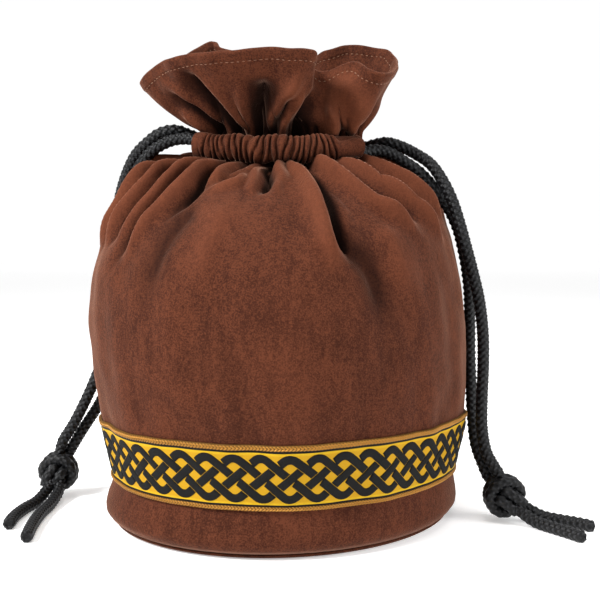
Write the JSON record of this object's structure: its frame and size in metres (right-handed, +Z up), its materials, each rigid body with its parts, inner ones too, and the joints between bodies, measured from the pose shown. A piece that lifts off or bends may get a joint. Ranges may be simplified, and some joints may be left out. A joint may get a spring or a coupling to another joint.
{
  "type": "drawstring pouch",
  "caption": "Round-based brown suede-cloth pouch drawn shut by black braided cords under a ruffled collar, with a gold and black plaited trim round its foot.",
  "frame": {"origin": "the middle of the base, on the table", "axes": "+Z up, -Y to the front, +X to the right as seen from the front"},
  "size_m": [0.2778, 0.1804, 0.2387],
  "materials": {
    "suede": "matt napped suede cloth",
    "cord": "braided cord with a slight sheen",
    "trim": "woven trim, gold and black, metallic looped edges"
  },
  "bodies": {
    "root": {"side_wall": "suede", "collar": "suede", "casing_front": "suede", "casing_back": "suede", "trim_band": "trim", "base_panel": "suede", "cord_left_front": "cord", "cord_left_back": "cord", "cord_right_front": "cord", "cord_right_back": "cord", "knot_left": "cord", "knot_right": "cord", "tail_left_1": "cord", "tail_left_2": "cord", "tail_right_1": "cord", "tail_right_2": "cord"}
  },
  "joints": []
}
